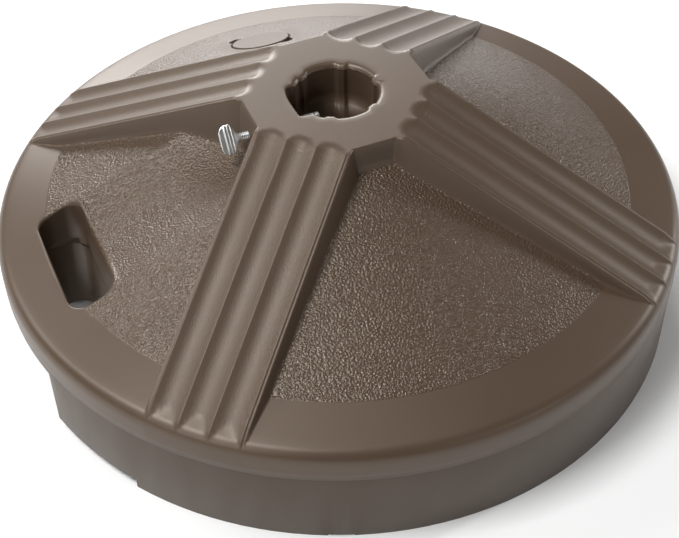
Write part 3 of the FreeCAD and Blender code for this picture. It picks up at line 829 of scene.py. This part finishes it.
def hexagon(turn, radius):
    """A radius limited by the nut's six flats, one of which is on top."""
    local = (turn + math.pi / 6 - math.pi / 2) % (math.pi / 3) - math.pi / 6
    return min(radius, NUT_FLATS / 2 / math.cos(local))


def zinc_plate(name):
    """Bright zinc plating: a pale blue-grey metal with dull patches and a faint ripple."""
    material = bpy.data.materials.new(name)
    material.use_nodes = True
    nodes, links = material.node_tree.nodes, material.node_tree.links
    surface = nodes["Principled BSDF"]
    surface.inputs["Metallic"].default_value = 0.9
    place = nodes.new("ShaderNodeTexCoord")
    patches = nodes.new("ShaderNodeTexNoise")
    patches.inputs["Scale"].default_value = 260.0
    patches.inputs["Detail"].default_value = 5.0
    links.new(place.outputs["Object"], patches.inputs["Vector"])
    tone = nodes.new("ShaderNodeMix")
    tone.data_type = "RGBA"
    tone.inputs["A"].default_value = (0.62, 0.64, 0.63, 1)
    tone.inputs["B"].default_value = (0.86, 0.87, 0.85, 1)
    links.new(patches.outputs["Fac"], tone.inputs["Factor"])
    links.new(tone.outputs["Result"], surface.inputs["Base Color"])
    gloss = nodes.new("ShaderNodeMapRange")
    gloss.inputs["To Min"].default_value = 0.22
    gloss.inputs["To Max"].default_value = 0.45
    links.new(patches.outputs["Fac"], gloss.inputs["Value"])
    links.new(gloss.outputs["Result"], surface.inputs["Roughness"])
    ripple = nodes.new("ShaderNodeBump")
    ripple.inputs["Strength"].default_value = 0.2
    ripple.inputs["Distance"].default_value = 0.00005
    links.new(patches.outputs["Fac"], ripple.inputs["Height"])
    links.new(ripple.outputs["Normal"], surface.inputs["Normal"])
    return material


corner = NUT_FLATS / 2 / math.cos(math.pi / 6)
face_r = NUT_FLATS / 2 * 0.96
nut = lathe_along_x("hexagon_nut", [
    (nut_low[0], NUT_BORE + NUT_BEVEL),
    (nut_low[0] + NUT_BEVEL, NUT_BORE),
    (nut_high[0] - NUT_BEVEL, NUT_BORE),
    (nut_high[0], NUT_BORE + NUT_BEVEL),
    (nut_high[0], face_r),
    (nut_high[0] - (corner - face_r) * 0.5, corner),
    (nut_low[0] + (corner - face_r) * 0.5, corner),
    (nut_low[0], face_r),
], 96, hexagon)
nut.data.materials.append(zinc_plate("zinc_nut"))
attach(nut, "base")
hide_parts("hub_nut")

# ---------------------------------------------------------------------------------------------
# Thumb screw: a 1/4 in zinc-plated screw. Its shank has a rolled thread up to the neck, and its
# head is pressed flat into a spade with ridges across it for the thumb. Its point is smooth.
# ---------------------------------------------------------------------------------------------
THREAD_R = 3.175 * MM
THREAD_ROOT = 2.55 * MM
THREAD_PITCH = 1.27 * MM
HEAD_LENGTH = 13.5 * MM
HEAD_HALF_WIDTH = 10.25 * MM
HEAD_TURN = math.radians(36.0)
HEAD_RIDGES = (0.34, 0.50, 0.66)
RIDGE_HEIGHT = 0.42 * MM
point_low, point_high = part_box("screw_point")
shank_end = point_low[0]
head_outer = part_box("thumb_screw")[0][0]
neck_x = head_outer + HEAD_LENGTH

head = bmesh.new()
sections = []
SECTION_POINTS = 56
HEAD_TAPER_FROM = 0.62
HEAD_END_FROM = 0.93
stations = [-0.14, -0.08] + [i / 48 for i in range(49)]
for t in stations:
    grow = float(ease(0.0, 0.42, np.array(t)))
    half_width = THREAD_R * 0.93 + (HEAD_HALF_WIDTH - THREAD_R * 0.93) * grow ** 1.3
    if t > HEAD_TAPER_FROM:
        half_width *= 1 - 0.42 * ((t - HEAD_TAPER_FROM) / (1 - HEAD_TAPER_FROM)) ** 2.2
    half_thick = THREAD_R * 0.93 * (1 - grow) + 1.45 * MM * grow
    half_thick -= 0.45 * MM * float(ease(0.66, 0.8, np.array(t)))
    half_thick += RIDGE_HEIGHT * sum(math.exp(-((t - ridge) / 0.035) ** 2) for ridge in HEAD_RIDGES)
    if t > HEAD_END_FROM:
        ending = math.sqrt(max(1 - ((t - HEAD_END_FROM) / (1 - HEAD_END_FROM)) ** 2, 0.0))
        half_thick *= max(ending, 0.02)
        half_width *= 0.9 + 0.1 * ending
    squareness = 2 + 3.0 * grow
    ring = []
    for index in range(SECTION_POINTS):
        turn = 2 * math.pi * index / SECTION_POINTS
        across = math.copysign(abs(math.cos(turn)) ** (2 / squareness), math.cos(turn)) * half_width
        through = math.copysign(abs(math.sin(turn)) ** (2 / squareness), math.sin(turn)) * half_thick
        y = across * math.sin(HEAD_TURN) + through * math.cos(HEAD_TURN)
        z = across * math.cos(HEAD_TURN) - through * math.sin(HEAD_TURN)
        ring.append(head.verts.new((neck_x - HEAD_LENGTH * t, y, screw_z + z)))
    sections.append(ring)
for first, second in zip(sections, sections[1:]):
    for index in range(SECTION_POINTS):
        after = (index + 1) % SECTION_POINTS
        head.faces.new((first[index], first[after], second[after], second[index]))
head.faces.new(sections[-1])
root_profile = [(neck_x + 2 * THREAD_PITCH, THREAD_ROOT), (shank_end - 0.4 * MM, THREAD_ROOT),
                (shank_end, THREAD_ROOT * 0.9)]
rings = [sections[0]]
for x, radius in root_profile:
    ring = []
    for index in range(SECTION_POINTS):
        turn = 2 * math.pi * index / SECTION_POINTS
        y = radius * (math.cos(turn) * math.sin(HEAD_TURN) + math.sin(turn) * math.cos(HEAD_TURN))
        z = radius * (math.cos(turn) * math.cos(HEAD_TURN) - math.sin(turn) * math.sin(HEAD_TURN))
        ring.append(head.verts.new((x, y, screw_z + z)))
    rings.append(ring)
for first, second in zip(rings, rings[1:]):
    for index in range(SECTION_POINTS):
        after = (index + 1) % SECTION_POINTS
        head.faces.new((first[index], first[after], second[after], second[index]))
head.faces.new(rings[-1])
bmesh.ops.recalc_face_normals(head, faces=head.faces)
head_data = bpy.data.meshes.new("spade_screw")
head.to_mesh(head_data)
head.free()


def rolled_thread_tree():
    """Geometry Nodes: a helical ridge of the thread's pitch along +X, joined to the plain shank."""
    tree = bpy.data.node_groups.new("rolled_thread", "GeometryNodeTree")
    tree.interface.new_socket("Geometry", in_out="INPUT", socket_type="NodeSocketGeometry")
    for label in ("Root radius", "Pitch", "Turns", "Start"):
        tree.interface.new_socket(label, in_out="INPUT", socket_type="NodeSocketFloat")
    tree.interface.new_socket("Axis height", in_out="INPUT", socket_type="NodeSocketFloat")
    tree.interface.new_socket("Finish", in_out="INPUT", socket_type="NodeSocketMaterial")
    tree.interface.new_socket("Geometry", in_out="OUTPUT", socket_type="NodeSocketGeometry")
    nodes, links = tree.nodes, tree.links
    entry = nodes.new("NodeGroupInput")
    leave = nodes.new("NodeGroupOutput")
    spiral = nodes.new("GeometryNodeCurveSpiral")
    spiral.inputs["Resolution"].default_value = 28
    links.new(entry.outputs["Turns"], spiral.inputs["Rotations"])
    links.new(entry.outputs["Root radius"], spiral.inputs["Start Radius"])
    links.new(entry.outputs["Root radius"], spiral.inputs["End Radius"])
    length = nodes.new("ShaderNodeMath")
    length.operation = "MULTIPLY"
    links.new(entry.outputs["Turns"], length.inputs[0])
    links.new(entry.outputs["Pitch"], length.inputs[1])
    links.new(length.outputs["Value"], spiral.inputs["Height"])
    upright = nodes.new("GeometryNodeSetCurveNormal")
    upright.mode = "Z_UP"
    links.new(spiral.outputs["Curve"], upright.inputs["Curve"])
    diamond = nodes.new("GeometryNodeCurvePrimitiveCircle")
    diamond.inputs["Resolution"].default_value = 4
    half_pitch = nodes.new("ShaderNodeMath")
    half_pitch.operation = "MULTIPLY"
    half_pitch.inputs[1].default_value = 0.49
    links.new(entry.outputs["Pitch"], half_pitch.inputs[0])
    links.new(half_pitch.outputs["Value"], diamond.inputs["Radius"])
    sweep = nodes.new("GeometryNodeCurveToMesh")
    sweep.inputs["Fill Caps"].default_value = True
    links.new(upright.outputs["Curve"], sweep.inputs["Curve"])
    links.new(diamond.outputs["Curve"], sweep.inputs["Profile Curve"])
    lay = nodes.new("GeometryNodeTransform")
    lay.inputs["Rotation"].default_value = (0, math.pi / 2, 0)
    shift = nodes.new("ShaderNodeCombineXYZ")
    links.new(entry.outputs["Start"], shift.inputs["X"])
    links.new(entry.outputs["Axis height"], shift.inputs["Z"])
    links.new(sweep.outputs["Mesh"], lay.inputs["Geometry"])
    links.new(shift.outputs["Vector"], lay.inputs["Translation"])
    join = nodes.new("GeometryNodeJoinGeometry")
    links.new(entry.outputs["Geometry"], join.inputs["Geometry"])
    links.new(lay.outputs["Geometry"], join.inputs["Geometry"])
    realize = nodes.new("GeometryNodeRealizeInstances")
    links.new(join.outputs["Geometry"], realize.inputs["Geometry"])
    finish = nodes.new("GeometryNodeSetMaterial")
    links.new(realize.outputs["Geometry"], finish.inputs["Geometry"])
    links.new(entry.outputs["Finish"], finish.inputs["Material"])
    links.new(finish.outputs["Geometry"], leave.inputs["Geometry"])
    return tree


def with_nodes(source, tree, values):
    """The plain mesh object that a Geometry Nodes tree makes of a source mesh."""
    maker = bpy.data.objects.new(source.name + "_maker", source)
    bpy.context.scene.collection.objects.link(maker)
    modifier = maker.modifiers.new("shape", "NODES")
    modifier.node_group = tree
    for item in tree.interface.items_tree:
        if item.item_type == "SOCKET" and item.in_out == "INPUT" and item.name in values:
            modifier[item.identifier] = values[item.name]
    depsgraph = bpy.context.evaluated_depsgraph_get()
    data = bpy.data.meshes.new_from_object(maker.evaluated_get(depsgraph))
    bpy.data.objects.remove(maker)
    made = bpy.data.objects.new(source.name + "_piece", data)
    bpy.context.scene.collection.objects.link(made)
    return made


zinc_screw = zinc_plate("zinc_screw")
thread_start = neck_x + 0.6 * MM
thread_turns = (shank_end - 1.0 * MM - thread_start) / THREAD_PITCH
thumb_screw = with_nodes(head_data, rolled_thread_tree(), {
    "Root radius": THREAD_ROOT + 0.02 * MM,
    "Pitch": THREAD_PITCH,
    "Turns": thread_turns,
    "Start": thread_start,
    "Axis height": screw_z,
    "Finish": zinc_screw,
})
for polygon in thumb_screw.data.polygons:
    polygon.use_smooth = True
thumb_screw.data.set_sharp_from_angle(angle=math.radians(50))
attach(thumb_screw, "screw")
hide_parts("thumb_screw")

POINT_R = THREAD_R * 0.9
point = lathe_along_x("screw_point_piece", [
    (point_low[0], 0.0),
    (point_low[0], POINT_R * 0.94),
    (point_low[0] + 0.2 * MM, POINT_R),
    (point_high[0] - 0.75 * MM, POINT_R),
    (point_high[0] - 0.15 * MM, POINT_R * 0.68),
    (point_high[0], POINT_R * 0.55),
    (point_high[0], 0.0),
], 48)
point.data.materials.append(zinc_plate("zinc_point"))
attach(point, "screw_carriage")
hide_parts("screw_point")

# ---------------------------------------------------------------------------------------------
# Filler plug: an injection-moulded cap with a hollow stem that presses into the filler neck.
# It lies flush with the sector; a rubber ring in the stem's groove seals it.
# ---------------------------------------------------------------------------------------------
CAP_R = 22.0 * MM
CAP_PROUD = 0.6 * MM
CAP_UNDER = -2.4 * MM
CAP_EDGE = 0.7 * MM
STEM_R = 16.0 * MM
STEM_BORE = 13.0 * MM
STEM_END = -12.0 * MM
GROOVE_DEPTH = 1.9 * MM
GROOVE_HALF = 1.2 * MM
GROOVE_LEVEL = 0.6 * STEM_END
PLUG_COLUMNS = 128

plug_profile = [(0.0, CAP_PROUD - 0.15 * MM), (CAP_R * 0.5, CAP_PROUD - 0.08 * MM),
                (CAP_R - 2 * CAP_EDGE, CAP_PROUD)]
for step in range(0, 7):
    angle = math.pi / 2 * (1 - step / 6)
    plug_profile.append((CAP_R - CAP_EDGE + CAP_EDGE * math.cos(angle),
                         CAP_PROUD - CAP_EDGE + CAP_EDGE * math.sin(angle)))
plug_profile += [(CAP_R, CAP_UNDER + 0.3 * MM), (CAP_R - 0.3 * MM, CAP_UNDER),
                 (STEM_R + 0.3 * MM, CAP_UNDER), (STEM_R, CAP_UNDER - 0.3 * MM)]
for step in range(0, 9):
    angle = math.pi * step / 8
    plug_profile.append((STEM_R - GROOVE_DEPTH * math.sin(angle),
                         GROOVE_LEVEL + GROOVE_HALF * math.cos(angle)))
plug_profile += [(STEM_R, STEM_END + 0.6 * MM), (STEM_R - 0.5 * MM, STEM_END),
                 (STEM_BORE + 0.3 * MM, STEM_END), (STEM_BORE, STEM_END + 0.4 * MM),
                 (STEM_BORE, CAP_UNDER - 0.8 * MM),
                 (STEM_BORE - 0.8 * MM, CAP_UNDER), (0.0, CAP_UNDER)]
plug_middle = Vector((0, PLUG_OUT, CONE_TOP - CONE_SLOPE * (PLUG_OUT - HUB_FLAT)))
plug_up = Vector((0, math.sin(cone_angle), math.cos(cone_angle)))
plug_side = Vector((1, 0, 0))
plug_down = plug_up.cross(plug_side)
cap = bmesh.new()
rings = []
for radius, level in plug_profile:
    ring = []
    for column in range(PLUG_COLUMNS):
        turn = 2 * math.pi * column / PLUG_COLUMNS
        spot = plug_middle + plug_up * level
        spot += (plug_side * math.cos(turn) + plug_down * math.sin(turn)) * radius
        ring.append(cap.verts.new(spot))
    rings.append(ring)
for first, second in zip(rings, rings[1:]):
    for column in range(PLUG_COLUMNS):
        after = (column + 1) % PLUG_COLUMNS
        cap.faces.new((first[column], second[column], second[after], first[after]))
bmesh.ops.remove_doubles(cap, verts=cap.verts, dist=1e-7)
bmesh.ops.recalc_face_normals(cap, faces=cap.faces)
cap_mesh = bpy.data.meshes.new("filler_plug")
cap.to_mesh(cap_mesh)
cap.free()
for polygon in cap_mesh.polygons:
    polygon.use_smooth = True
cap_mesh.set_sharp_from_angle(angle=math.radians(50))
filler_plug = bpy.data.objects.new("filler_plug", cap_mesh)
bpy.context.scene.collection.objects.link(filler_plug)
cap_mesh.materials.append(bronze_plastic("bronze_plastic_plug", 0.12))
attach(filler_plug, "plug")
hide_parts("fill_plug")

rubber = bpy.data.materials.new("seal_rubber")
rubber.use_nodes = True
nodes, links = rubber.node_tree.nodes, rubber.node_tree.links
place = nodes.new("ShaderNodeTexCoord")
bloom = nodes.new("ShaderNodeTexNoise")
bloom.inputs["Scale"].default_value = 300.0
bloom.inputs["Detail"].default_value = 4.0
links.new(place.outputs["Object"], bloom.inputs["Vector"])
rubber_tone = nodes.new("ShaderNodeMix")
rubber_tone.data_type = "RGBA"
rubber_tone.inputs["A"].default_value = (0.012, 0.012, 0.012, 1)
rubber_tone.inputs["B"].default_value = (0.030, 0.030, 0.031, 1)
links.new(bloom.outputs["Fac"], rubber_tone.inputs["Factor"])
links.new(rubber_tone.outputs["Result"], nodes["Principled BSDF"].inputs["Base Color"])
nodes["Principled BSDF"].inputs["Roughness"].default_value = 0.62
rubber_skin = nodes.new("ShaderNodeBump")
rubber_skin.inputs["Strength"].default_value = 0.3
rubber_skin.inputs["Distance"].default_value = 0.00008
links.new(bloom.outputs["Fac"], rubber_skin.inputs["Height"])
links.new(rubber_skin.outputs["Normal"], nodes["Principled BSDF"].inputs["Normal"])
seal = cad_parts["plug_seal"]
seal.data.materials.clear()
seal.data.materials.append(rubber)
